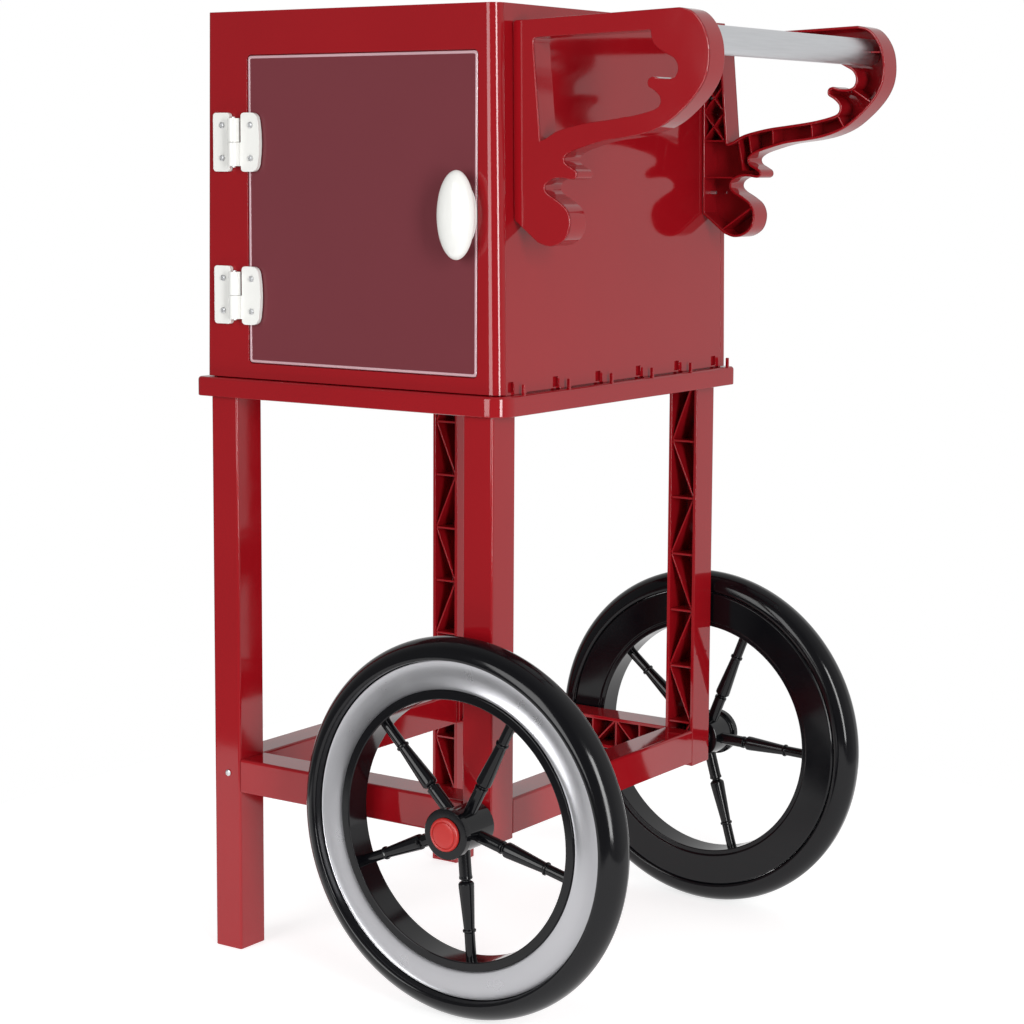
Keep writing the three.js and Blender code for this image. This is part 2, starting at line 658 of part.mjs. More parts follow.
// Turned-look spoke from the hub out to the rim: neck, ring, groove, tapering body, ring, tail.
function spoke(turn) {
  const neck = [[5, 37], [5, 14], [0, 14]];
  const collar = [[6.2, 46], [6.2, 43.5], [5.4, 42.3], [3.7, 41.2], [3.7, 40.4], [5.3, 39.6], [5.3, 38]];
  const ring = [[4.2, 82], [5.3, 81.2], [5.3, 79.8], [4.3, 79]];
  const profile = [[0, 104], [4.2, 104], ...ring, ...collar, ...neck];
  return solidOf(turned(profile, 8).rotateZ(-Math.PI / 2).rotateY(-turn));
}

function rim() {
  const innerSide = [[102.5, 11.6], [106.4, 11.6], [107.4, 13], [131.6, 13], [132.9, 12], [132.9, 10], [106, 10]];
  const lip = [[106, -6.5], [109.8, -6.5], [109.8, -10.3], [108.6, -11.5], [103.7, -11.5], [102.5, -10.3]];
  return solidOf(turned([...innerSide, ...lip], roundSteps, true));
}

function hub(hubIn) {
  const { radius, flange, out } = hubSize;
  const barrel = [[0, hubIn], [radius - 1, hubIn], [radius, hubIn - 1], [radius, out + 7.5]];
  const face = [[flange, out + 6], [flange, out + 1.2], [flange - 1.2, out], [0, out]];
  return solidOf(turned([...barrel, ...face], 24));
}

function wheelBody(angles, offset) {
  const { out, capBore, capDepth } = hubSize;
  const hubIn = offset - wheel.legClearance;
  const body = join(rim(), hub(hubIn), ...angles.map((angle) => spoke((angle * Math.PI) / 180)));
  const bore = solidOf(rod(axle.bore, [out - overshoot, hubIn + overshoot], 24));
  const counterbore = solidOf(rod(capBore, [out - overshoot, out + capDepth], 24));
  return cut(body, bore, counterbore);
}

// A shallow dish between the rim's lip and the tyre, with a bead along its outer edge.
function whitewall() {
  const back = [[110.1, -5], [132.9, -4.6]];
  const bead = [[132.9, -7.4], [132.2, -8.4], [131.2, -7.6]];
  const dish = [[127, -6.9], [121, -6.6], [115.5, -7.2], [111.8, -8.4], [110.1, -9.6]];
  return solidOf(turned([...back, ...bead, ...dish], roundSteps, true));
}

function hubCap() {
  const face = hubSize.out - gap;
  const profile = [
    [0, face + 0.1],
    [10.2, face + 0.1],
    [10.2, face + 6],
    [11.9, face + 6],
    [11.9, face],
    [13.2, face],
    [13.2, face - 1.2],
    [11.8, face - 2.4],
    [6, face - 3],
    [0, face - 3.1],
  ];
  return solidOf(turned(profile, 24));
}

// The sleeve turns in the leg's wall, with its collar on the inside of the wall.
function axleBush(offset) {
  const from = offset + leg.wall + gap;
  const to = from + bush.collarThickness;
  const collar = [[axle.bore, to], [bush.collar, to], [bush.collar, from], [bush.radius, from]];
  return solidOf(turned([...collar, [bush.radius, offset + gap], [axle.bore, offset + gap]], 24, true));
}

// Spoke angles in degrees, from +X towards +Z in each wheel's own frame.
const wheelPlaces = [
  { side: 'front', y: frontWheelY, turn: 0, offset: wheel.frontOffset, angles: [-85, -13.5, 62.5, 135.5, 203.5] },
  { side: 'back', y: backWheelY, turn: Math.PI, offset: wheel.backOffset, angles: [254, 182, 112, 40, -32] },
];

// ---------------------------------------------------------------- assembly

piece('base_tray', red, baseTray());
piece('cabinet_front_frame', red, frontFrame());
piece('cabinet_back_panel', red, wrappedWall(false));
piece('cabinet_left_panel', red, sidePanel(-1));
piece('cabinet_right_panel', red, sidePanel(1));
piece('cabinet_top', red, cabinetLid());

for (const place of legCorners) {
  piece(place.name, red, makeLeg(place));
}
piece('rail_front', red, crossRail(true));
piece('rail_back', red, crossRail(false));
const leftRailScrew = (y) => hole(railScrew.x, railScrew.z, screws.rail.hole, y);
const railEnds = [leg.frontY + leg.depth, leg.backY - leg.depth];
piece('rail_left', red, cut(
  sideRail(leg.leftX),
  leftRailScrew([railEnds[0] - overshoot, railEnds[0] + 14]),
  leftRailScrew([railEnds[1] - 14, railEnds[1] + overshoot]),
));
const axlePassage = block([wheel.x - 7, wheel.x + 7], railEnds, [wheel.radius - 7, wheel.radius + 7]);
piece('rail_right', red, cut(sideRail(leg.rightX), axlePassage));

piece('handle_bracket_front', red, makeBracket(bracket.frontY, 1));
piece('handle_bracket_back', red, makeBracket(bracket.backY, -1));
const barSpan = [bracket.frontY + bracket.web + gap, bracket.backY - bracket.web - gap];
piece('handle_bar', aluminium, solidOf(tube(bar.radius, bar.bore, barSpan).translate(bar.x, 0, bar.z)));

for (const [level, span] of Object.entries(hinges)) {
  piece(`${level}_hinge_frame_leaf`, white, hingeLeaf(span, true));
  piece(`${level}_hinge_door_leaf`, white, hingeLeaf(span, false));
  piece(`${level}_hinge_pin`, steel, hingePin(span));
  screwHeights(span).forEach((z, index) => {
    const end = index ? 'high' : 'low';
    const y = leafY[0] - gap;
    piece(`${level}_hinge_frame_screw_${end}`, steel, placed(screw(screws.frameLeaf), leafScrewX.frame, y, z));
    piece(`${level}_hinge_door_screw_${end}`, steel, placed(screw(screws.doorLeaf), leafScrewX.door, y, z));
  });
}

piece('door_panel', clear, doorPanel());
piece('door_knob', white, makeKnob());
piece('door_catch_plate', steel, makeCatchPlate());
piece('door_catch_magnet', black, makeCatchMagnet());
const knobScrewY = doorY[1] + gap + catchPlate.thickness + gap;
piece('door_knob_screw', steel, placed(screw(screws.knob), knob.x, knobScrewY, knob.z, Math.PI));

const railScrewSolid = screw(screws.rail);
piece('rail_screw_front', steel, placed(railScrewSolid, railScrew.x, leg.frontY - gap, railScrew.z));
piece('rail_screw_back', steel, placed(railScrewSolid, railScrew.x, leg.backY + gap, railScrew.z, Math.PI));

for (const [index, side] of ['front', 'back'].entries()) {
  for (const [row, z] of bracketScrewHeights.entries()) {
    const x = panelFaceX(z) - cabinet.wall - gap;
    const name = `bracket_screw_${side}_${row ? 'high' : 'low'}`;
    piece(name, steel, placed(screw(screws.bracket), x, bracketMiddles[index], z, -Math.PI / 2));
  }
}

const axleSpan = [wheelPlaces[0].y - axle.endInset, wheelPlaces[1].y + axle.endInset];
piece('axle', steel, solidOf(rod(axle.radius, axleSpan, 24).translate(wheel.x, 0, wheel.radius)));

for (const { side, y, turn, offset, angles } of wheelPlaces) {
  const group = new THREE.Group();
  group.position.set(wheel.x, y, wheel.radius);
  group.rotation.z = turn;
  cart.add(group);
  const ring = (outer, span) => solidOf(tube(outer, axle.bore, span));
  piece(`${side}_wheel_body`, black, wheelBody(angles, offset), group);
  piece(`${side}_wheel_tyre`, black, tyre(), group);
  piece(`${side}_wheel_whitewall`, silver, whitewall(), group);
  piece(`${side}_wheel_hub_cap`, capRed, hubCap(), group);
  piece(`${side}_axle_push_nut`, steel, ring(pushNut.radius, pushNut.y), group);
  piece(`${side}_axle_washer`, steel, ring(washerRadius, [offset - wheel.legClearance + gap, offset - gap]), group);
  piece(`${side}_axle_bush`, white, axleBush(offset), group);
}

export default part;
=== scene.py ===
"""Looks of the wheeled popcorn-maker stand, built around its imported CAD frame.

Blender works in metres, in the row frame: +Z up, +X towards the push handle, +Y towards the back.
Shapes are written in millimetres from the cabinet's front right corner, on the floor under it.
"""

import json
import math

import bmesh
import bpy
from mathutils import Matrix, Vector
from mathutils.geometry import intersect_line_line_2d


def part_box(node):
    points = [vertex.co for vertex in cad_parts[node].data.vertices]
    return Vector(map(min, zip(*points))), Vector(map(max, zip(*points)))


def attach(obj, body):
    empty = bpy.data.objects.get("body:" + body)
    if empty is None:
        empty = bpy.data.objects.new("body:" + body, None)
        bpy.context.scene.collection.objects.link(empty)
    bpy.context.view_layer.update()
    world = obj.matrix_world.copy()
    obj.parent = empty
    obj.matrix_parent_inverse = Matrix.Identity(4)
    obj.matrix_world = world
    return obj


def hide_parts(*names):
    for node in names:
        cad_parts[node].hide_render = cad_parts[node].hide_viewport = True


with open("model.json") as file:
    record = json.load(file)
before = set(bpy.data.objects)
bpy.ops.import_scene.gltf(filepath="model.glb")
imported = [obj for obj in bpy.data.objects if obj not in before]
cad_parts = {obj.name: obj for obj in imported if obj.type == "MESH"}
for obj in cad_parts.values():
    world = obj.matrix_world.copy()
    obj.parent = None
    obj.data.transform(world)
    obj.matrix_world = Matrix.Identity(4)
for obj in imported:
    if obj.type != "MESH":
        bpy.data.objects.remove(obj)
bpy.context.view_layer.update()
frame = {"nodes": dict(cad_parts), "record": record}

MM = 0.001
FRONT_LOW, FRONT_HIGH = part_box("cabinet_front_frame")
CORNER = Vector((FRONT_HIGH.x, FRONT_LOW.y, 0))
TO_ROW = Matrix.Translation(CORNER) @ Matrix.Scale(MM, 4)
STAND_UP = Matrix.Rotation(math.radians(90), 4, "X")  # an outline's X and Y become X and Z
LIE_FLAT = Matrix.Identity(4)


def local_box(node):
    """A CAD node's box, in millimetres from the cabinet's corner."""
    return [(corner - CORNER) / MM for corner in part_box(node)]


# ---------------------------------------------------------------- materials


def new_material(name):
    material = bpy.data.materials.new(name)
    material.use_nodes = True
    nodes = material.node_tree.nodes
    nodes.clear()
    output = nodes.new("ShaderNodeOutputMaterial")
    shader = nodes.new("ShaderNodeBsdfPrincipled")
    material.node_tree.links.new(shader.outputs["BSDF"], output.inputs["Surface"])
    return material, shader


def link(material, source, target):
    material.node_tree.links.new(source, target)


def noise(material, scale, detail=3.0, stretch=(1, 1, 1)):
    """Noise in the object's own metres, so that it stays put on the surface."""
    nodes = material.node_tree.nodes
    place = nodes.new("ShaderNodeTexCoord")
    mapping = nodes.new("ShaderNodeMapping")
    mapping.inputs["Scale"].default_value = stretch
    texture = nodes.new("ShaderNodeTexNoise")
    texture.inputs["Scale"].default_value = scale
    texture.inputs["Detail"].default_value = detail
    link(material, place.outputs["Object"], mapping.inputs["Vector"])
    link(material, mapping.outputs["Vector"], texture.inputs["Vector"])
    return texture.outputs["Fac"]


def ramp(material, source, low, high, dark, light):
    """Maps a 0 to 1 value between two colours or grey levels."""
    made = material.node_tree.nodes.new("ShaderNodeValToRGB")
    link(material, source, made.inputs["Fac"])
    for element, position, colour in zip(made.color_ramp.elements, (low, high), (dark, light)):
        element.position = position
        element.color = (*colour, 1) if hasattr(colour, "__len__") else (colour, colour, colour, 1)
    return made.outputs["Color"]


def bump(material, shader, height, strength, distance):
    made = material.node_tree.nodes.new("ShaderNodeBump")
    made.inputs["Strength"].default_value = strength
    made.inputs["Distance"].default_value = distance
    link(material, height, made.inputs["Height"])
    link(material, made.outputs["Normal"], shader.inputs["Normal"])


def moulded_plastic(name, colour, darker, roughness, spread, metallic=0.0, specular=0.5):
    """Injection-moulded plastic: slight colour drift, uneven polish and very shallow sink waves."""
    material, shader = new_material(name)
    drift = ramp(material, noise(material, 7), 0.3, 0.7, darker, colour)
    link(material, drift, shader.inputs["Base Color"])
    polish = ramp(material, noise(material, 45, 4), 0.3, 0.75, roughness, roughness + spread)
    link(material, polish, shader.inputs["Roughness"])
    bump(material, shader, noise(material, 16, 2), 0.03, 0.0008)
    shader.inputs["IOR"].default_value = 1.5
    shader.inputs["Metallic"].default_value = metallic
    shader.inputs["Specular IOR Level"].default_value = specular
    return material


def door_sheet_with_painted_inner_shade():
    """Polished clear plastic, drawn nearly opaque: the cabinet's red inside, seen through it, is painted
    into its colour, and painted shade makes that a flat deep maroon.
    """
    material, shader = new_material("clear_plastic")
    # Painted shade: the dim red inside of the cabinet, as seen through the clear sheet, is painted in as
    # this maroon.
    tone_drift_and_painted_shade = ramp(material, noise(material, 5), 0.3, 0.7, (0.165, 0.036, 0.045), (0.175, 0.038, 0.048))
    link(material, tone_drift_and_painted_shade, shader.inputs["Base Color"])
    polish = ramp(material, noise(material, 40, 4), 0.3, 0.75, 0.03, 0.07)
    link(material, polish, shader.inputs["Roughness"])
    shader.inputs["Alpha"].default_value = 0.92
    shader.inputs["Specular IOR Level"].default_value = 0.3
    shader.inputs["IOR"].default_value = 1.5
    return material


def brushed_metal(name, colour, darker, roughness, stretch):
    """Bare metal with a fine grain, drawn out where `stretch` is below 1."""
    material, shader = new_material(name)
    grain = noise(material, 900, 2, stretch)
    tone_drift_and_painted_shade = ramp(material, grain, 0.3, 0.7, darker, colour)
    polish = ramp(material, grain, 0.2, 0.8, roughness, roughness + 0.12)
    link(material, tone_drift_and_painted_shade, shader.inputs["Base Color"])
    link(material, polish, shader.inputs["Roughness"])
    shader.inputs["Metallic"].default_value = 1.0
    bump(material, shader, grain, 0.06, 0.0001)
    return material


PLASTICS = {
    "red_plastic": {
        "colour": (0.295, 0.0052, 0.0095), "darker": (0.275, 0.0044, 0.0085),
        "roughness": 0.05, "spread": 0.05,
    },
    "cap_red": {
        "colour": (0.42, 0.015, 0.012), "darker": (0.38, 0.013, 0.010),
        "roughness": 0.3, "spread": 0.08,
    },
    "black_plastic": {
        "colour": (0.0035, 0.0035, 0.0045), "darker": (0.0025, 0.0025, 0.0035),
        "roughness": 0.1, "spread": 0.06, "specular": 0.3,
    },
    "silver_trim": {
        "colour": (0.47, 0.47, 0.49), "darker": (0.45, 0.45, 0.47),
        "roughness": 0.27, "spread": 0.05, "metallic": 0.9,
    },
    "white_plastic": {
        "colour": (0.84, 0.84, 0.81), "darker": (0.81, 0.81, 0.78),
        "roughness": 0.16, "spread": 0.08,
    },
    # Painted highlight: this pale pink stands in for the light that the door's clear cut edge catches.
    "door_rim_painted_highlight": {
        "colour": (0.58, 0.37, 0.40), "darker": (0.50, 0.31, 0.34),
        "roughness": 0.08, "spread": 0.06,
    },
}
MATERIALS = {name: moulded_plastic(name, **looks) for name, looks in PLASTICS.items()}
# The door's clear sheet carries painted shade: the cabinet's dim red inside, painted as a flat maroon.
MATERIALS["clear_plastic"] = door_sheet_with_painted_inner_shade()
MATERIALS["steel"] = brushed_metal("steel", (0.78, 0.79, 0.80), (0.70, 0.71, 0.72), 0.35, (1, 1, 1))
MATERIALS["aluminium_tube"] = brushed_metal(
    "aluminium_tube", (0.71, 0.72, 0.74), (0.66, 0.67, 0.69), 0.36, (1, 0.03, 1)
)
SLOT_OF = {row["node"]: row["material_slot"] for row in frame["record"]["subparts"]}
BODY_OF = {node: body for body, nodes in frame["record"]["behaviour"]["bodies"].items() for node in nodes}


# ---------------------------------------------------------------- flat outlines


def smooth_curve(points, steps):
    """Points on a Catmull-Rom curve through an open list of points."""
    ends = [points[0], *points, points[-1]]
    curve = []
    for before, start, end, after in zip(ends, ends[1:], ends[2:], ends[3:]):
        a, b, c, d = (Vector(p) for p in (before, start, end, after))
        for i in range(steps):
            t = i / steps
            square = (2 * a - 5 * b + 4 * c - d) * t**2
            cube = (3 * b - a - 3 * c + d) * t**3
            curve.append(tuple(0.5 * (2 * b + (c - a) * t + square + cube)))
    return [*curve, tuple(points[-1])]


def filleted(points, radius, steps=4):
    """A closed outline with each sharp corner rounded; gentle bends stay as they are.

    `radius` is one number, or a list with one for each point.
    """
    radii = radius if isinstance(radius, list) else [radius] * len(points)
    rounded = []
    for index, here in enumerate(points):
        corner = Vector(here)
        back = Vector(points[index - 1]) - corner
        ahead = Vector(points[(index + 1) % len(points)]) - corner
        turn = math.pi - back.angle(ahead)
        if turn < math.radians(20):
            rounded.append(tuple(corner))
            continue
        reach = min(radii[index] * math.tan(turn / 2), 0.45 * back.length, 0.45 * ahead.length)
        start = corner + back.normalized() * reach
        end = corner + ahead.normalized() * reach
        for i in range(steps + 1):
            t = i / steps
            rounded.append(tuple(start * (1 - t) ** 2 + 2 * corner * t * (1 - t) + end * t**2))
    return rounded


def signed_area(points):
    return sum(a[0] * b[1] - b[0] * a[1] for a, b in zip(points, [*points[1:], points[0]])) / 2


def inset(points, distance):
    """A closed outline moved inwards by `distance`, or outwards where that is negative."""
    turn = 1 if signed_area(points) > 0 else -1
    moved = []
    for index, here in enumerate(points):
        before, after = Vector(points[index - 1]), Vector(points[(index + 1) % len(points)])
        along = (after - before).normalized()
        moved.append((here[0] - turn * along.y * distance, here[1] + turn * along.x * distance))
    return moved


def rectangle(x, y):
    """The corners of a rectangle, from two pairs of coordinates."""
    return [(x[0], y[0]), (x[1], y[0]), (x[1], y[1]), (x[0], y[1])]


def corner_arc(centre, radius, first, steps):
    """A quarter circle from the angle `first`, in degrees."""
    angles = [math.radians(first + 90 * i / steps) for i in range(steps + 1)]
    return [(centre[0] + radius * math.cos(a), centre[1] + radius * math.sin(a)) for a in angles]


def rounded_rectangle(x, y, radius, post=None, steps=10):
    """`post` is the radius of the corner at the highest x and the lowest y, where it differs."""
    post = radius if post is None else post
    return [
        *corner_arc((x[1] - post, y[0] + post), post, -90, steps),
        *corner_arc((x[1] - radius, y[1] - radius), radius, 0, steps),
        *corner_arc((x[0] + radius, y[1] - radius), radius, 90, steps),
        *corner_arc((x[0] + radius, y[0] + radius), radius, 180, steps),
    ]


# ---------------------------------------------------------------- meshes, in millimetres


def plate(loops, low, high, edge, turn=STAND_UP, rise=(0, 1, 0)):
    """A plate from `low` to `high` with rounded edges; each loop inside another one is a hole.

    `turn` moves an outline's X and Y to where they lie, and `rise` is the axis across the plate.
    """
    curve = bpy.data.curves.new("outline", "CURVE")
    curve.dimensions = "2D"
    curve.fill_mode = "BOTH"
    curve.extrude = (high - low) / 2 - edge
    curve.bevel_depth = edge
    curve.bevel_resolution = 2
    curve.offset = -edge
    for loop in loops:
        spline = curve.splines.new("POLY")
        spline.points.add(len(loop) - 1)
        for point, (x, y) in zip(spline.points, loop):
            point.co = (x, y, 0, 1)
        spline.use_cyclic_u = True
    holder = bpy.data.objects.new("outline", curve)
    mesh = bpy.data.meshes.new_from_object(holder)
    bpy.data.objects.remove(holder)
    middle = Vector(rise) * (low + high) / 2
    mesh.transform(Matrix.Translation(middle) @ turn)
    return mesh


def lathe(profile, steps=128, closed=False):
    """A solid turned about the Y axis from (radius, y) points; an open profile ends on the axis."""
    angles = [2 * math.pi * i / steps for i in range(steps)]
    made = bmesh.new()
    rings = []
    for radius, y in profile:
        if radius < 1e-6:
            rings.append([made.verts.new((0, y, 0))])
            continue
        rings.append([made.verts.new((radius * math.cos(a), y, radius * math.sin(a))) for a in angles])
    pairs = list(zip(rings, rings[1:]))
    if closed:
        pairs.append((rings[-1], rings[0]))
    for lower, upper in pairs:
        for i in range(steps):
            j = (i + 1) % steps
            corners = [ring[k % len(ring)] for ring, k in ((lower, i), (lower, j), (upper, j), (upper, i))]
            made.faces.new(list(dict.fromkeys(corners)))
    bmesh.ops.recalc_face_normals(made, faces=made.faces)
    mesh = bpy.data.meshes.new("lathe")
    made.to_mesh(mesh)
    made.free()
    return mesh


def box_mesh(x, y, z, edge=0.0):
    """A block between pairs of coordinates, with its edges rounded."""
    made = bmesh.new()
    bmesh.ops.create_cube(made, size=1)
    size = Vector((x[1] - x[0], y[1] - y[0], z[1] - z[0]))
    centre = Vector((x[0] + x[1], y[0] + y[1], z[0] + z[1])) / 2
    for vertex in made.verts:
        vertex.co = Vector(a * b for a, b in zip(vertex.co, size)) + centre
    if edge:
        bmesh.ops.bevel(made, geom=made.edges, offset=edge, segments=2, affect="EDGES", profile=0.5)
    mesh = bpy.data.meshes.new("box")
    made.to_mesh(mesh)
    made.free()
    return mesh


def within(point, loops):
    """Even-odd test: true inside the outline and outside its holes."""
    crossings = 0
    for loop in loops:
        for a, b in zip(loop, [*loop[1:], loop[0]]):
            if (a[1] > point.y) != (b[1] > point.y):
                crossings += point.x < a[0] + (point.y - a[1]) * (b[0] - a[0]) / (b[1] - a[1])
    return crossings % 2 == 1


def clipped(start, end, loops):
    """The stretches of a straight rib that lie between the walls of the loops."""
    start, end = Vector(start), Vector(end)
    shares = [0.0, 1.0]
    for loop in loops:
        for a, b in zip(loop, [*loop[1:], loop[0]]):
            crossing = intersect_line_line_2d(start, end, Vector(a), Vector(b))
            if crossing is not None:
                shares.append((crossing - start).length / (end - start).length)
    shares.sort()
    stretches = []
    for low, high in zip(shares, shares[1:]):
        if high - low > 0.02 and within(start.lerp(end, (low + high) / 2), loops):
            stretches.append((tuple(start.lerp(end, low)), tuple(start.lerp(end, high))))
    return stretches


def strip_mesh(start, end, thickness, y):
    """A thin rib in X and Z between two points, running from y[0] to y[1]."""
    a, b = Vector((start[0], 0, start[1])), Vector((end[0], 0, end[1]))
    along = b - a
    rib = box_mesh((-along.length / 2, along.length / 2), y, (-thickness / 2, thickness / 2), 0.3)
    turn = Matrix.Rotation(-math.atan2(along.z, along.x), 4, "Y")
    rib.transform(Matrix.Translation((a + b) / 2) @ turn)
    return rib


def loft(loops):
    """A closed skin through loops of (points, z) that all have the same number of points."""
    made = bmesh.new()
    rings = [[made.verts.new((x, y, z)) for x, y in points] for points, z in loops]
    for lower, upper in zip(rings, rings[1:]):
        for i in range(len(lower)):
            j = (i + 1) % len(lower)
            made.faces.new((lower[i], lower[j], upper[j], upper[i]))
    made.faces.new(rings[0])
    made.faces.new(rings[-1])
    bmesh.ops.recalc_face_normals(made, faces=made.faces)
    mesh = bpy.data.meshes.new("loft")
    made.to_mesh(mesh)
    made.free()
    return mesh


def placed(mesh, *turns):
    for turn in turns:
        mesh.transform(turn)
    return mesh


def make_piece(name, meshes, nodes, material=None, place=TO_ROW, flats=True):
    """Joins meshes into one piece that stands for CAD nodes and moves with their body.

    `flats` keeps flat faces flat beside rounded edges; a shape that is curved all over needs none.
    """
    joined = bmesh.new()
    for mesh in meshes:
        joined.from_mesh(mesh)
        bpy.data.meshes.remove(mesh)
    bmesh.ops.remove_doubles(joined, verts=joined.verts, dist=1e-4)
    made = bpy.data.meshes.new(name)
    joined.to_mesh(made)
    joined.free()
    made.transform(place)
    for polygon in made.polygons:
        polygon.use_smooth = True
    made.set_sharp_from_angle(angle=math.radians(30))
    piece = bpy.data.objects.new(name, made)
    bpy.context.scene.collection.objects.link(piece)
    if flats:
        normals = piece.modifiers.new("normals", "WEIGHTED_NORMAL")
        normals.weight = 90
        normals.keep_sharp = True
    slot = SLOT_OF[nodes[0]]
    made.materials.append(MATERIALS[material or slot])
    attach(piece, BODY_OF[nodes[0]])
    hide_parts(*nodes)
    return piece


# ---------------------------------------------------------------- CAD nodes that stay


def soften(piece, width):
    """Rounds a faceted solid's edges and smooths its round stretches."""
    for polygon in piece.data.polygons:
        polygon.use_smooth = True
    weld = piece.modifiers.new("weld", "WELD")
    weld.merge_threshold = 1e-6
    flatten = piece.modifiers.new("flatten", "DECIMATE")
    flatten.decimate_type = "DISSOLVE"
    flatten.angle_limit = math.radians(0.4)
    bevel = piece.modifiers.new("bevel", "BEVEL")
    bevel.width = width
    bevel.segments = 2
    bevel.limit_method = "ANGLE"
    bevel.angle_limit = math.radians(32)
    bevel.use_clamp_overlap = False
    piece.modifiers.new("normals", "WEIGHTED_NORMAL")


BEVELS = {"cabinet_front_frame": 0.25, "cabinet_back_panel": 0.25, "cabinet_top": 0.3}
for name, cad in frame["nodes"].items():
    if "custom_normal" in cad.data.attributes:
        cad.data.attributes.remove(cad.data.attributes["custom_normal"])
    cad.data.materials.clear()
    cad.data.materials.append(MATERIALS[SLOT_OF[name]])
    soften(cad, BEVELS.get(name, 0.15) * MM)


# ---------------------------------------------------------------- side panels

CABINET = {"width": 295, "bottom": 484, "top": 781, "wall": 3, "taper": 4}
PANEL = {"bottom": 484.1, "front": 9.05, "back": 338.95, "edge": 0.12}
SLOTS = {"count": 6, "first": 15, "pitch": 62.3, "width": 7.5, "low": 2.2, "high": 10.2}
SLOT_FLOOR = {"low": 0.1, "high": 0.6}  # the closed bottom of each recess, from the cabinet's inside
SLITS = {"first": 37, "pitch": 63.4, "length": 47, "height": 1.0}

# An outline's X and Y become Y and Z.
TO_SIDE = Matrix(((0, 0, 1, 0), (1, 0, 0, 0), (0, 1, 0, 0), (0, 0, 0, 1)))


def leaned(mesh):
    """Narrows the cabinet towards its top, by `taper` on each side."""
    middle = -CABINET["width"] / 2
    shrink = CABINET["taper"] / -middle / (CABINET["top"] - CABINET["bottom"])
    for vertex in mesh.vertices:
        scale = 1 - shrink * (vertex.co.z - CABINET["bottom"])
        vertex.co.x = middle + (vertex.co.x - middle) * scale
    return mesh


def slitted_outline():
    """The sheet from the side: Y and Z points, with shallow slits along its bottom edge."""
    low, high = PANEL["bottom"], CABINET["top"]
    outline = [(PANEL["front"], low)]
    for i in range(SLOTS["count"] - 1):
        start = SLITS["first"] + i * SLITS["pitch"]
        end = start + SLITS["length"]
        top = low + SLITS["height"]
        outline += [(start, low), (start, top), (end, top), (end, low)]
    return [*outline, (PANEL["back"], low), (PANEL["back"], high), (PANEL["front"], high)]


def slot_boxes():
    """The Y and Z ranges of the slots that lie inside the sheet."""
    z = (CABINET["bottom"] + SLOTS["low"], CABINET["bottom"] + SLOTS["high"])
    boxes = []
    for i in range(SLOTS["count"]):
        middle = SLOTS["first"] + i * SLOTS["pitch"]
        y = (middle - SLOTS["width"] / 2, middle + SLOTS["width"] / 2)
        if y[0] > PANEL["front"] and y[1] < PANEL["back"]:
            boxes.append((y, z))
    return boxes


def make_side_panel(name, x):
    """A sheet between two X places, with a floor behind its slots and its bottom edge."""
    if x[1] == 0:
        floor = (x[0] + SLOT_FLOOR["low"], x[0] + SLOT_FLOOR["high"])
    else:
        floor = (x[1] - SLOT_FLOOR["high"], x[1] - SLOT_FLOOR["low"])
    strip_y = (PANEL["front"] + 1, PANEL["back"] - 1)
    floors = [box_mesh(floor, strip_y, (PANEL["bottom"], PANEL["bottom"] + 2))]
    holes = []
    for y, z in slot_boxes():
        holes.append(filleted(rectangle(y, z), 0.6))
        floors.append(box_mesh(floor, (y[0] - 0.5, y[1] + 0.5), (z[0] - 0.5, z[1] + 0.5)))
    loops = [slitted_outline(), *holes]
    panel = plate(loops, x[0], x[1], PANEL["edge"], TO_SIDE, (1, 0, 0))
    make_piece(f"{name}_sheet", [leaned(mesh) for mesh in (panel, *floors)], [name])


make_side_panel("cabinet_right_panel", (-CABINET["wall"], 0))
make_side_panel("cabinet_left_panel", (-CABINET["width"], -CABINET["width"] + CABINET["wall"]))


# ---------------------------------------------------------------- base tray

TRAY_LOW, TRAY_HIGH = local_box("base_tray")
TRAY_TOP = 484
TRAY = {"thickness": 16, "deck": 3, "skirt": 3, "corner": 6, "post": 18, "lap": 7, "rib": 2}
HOOKS = {"count": 6, "first": 25, "pitch": 63.4, "width": 2.2, "out": 4, "thickness": 2.6, "height": 8}


def tray_outline(distance):
    """The tray from above, moved inwards by `distance`; it laps past the cabinet's right side."""
    x = (TRAY_LOW.x + distance, TRAY["lap"] - distance)
    y = (TRAY_LOW.y + distance, TRAY_HIGH.y - distance)
    return rounded_rectangle(x, y, TRAY["corner"] - distance, TRAY["post"] - distance)


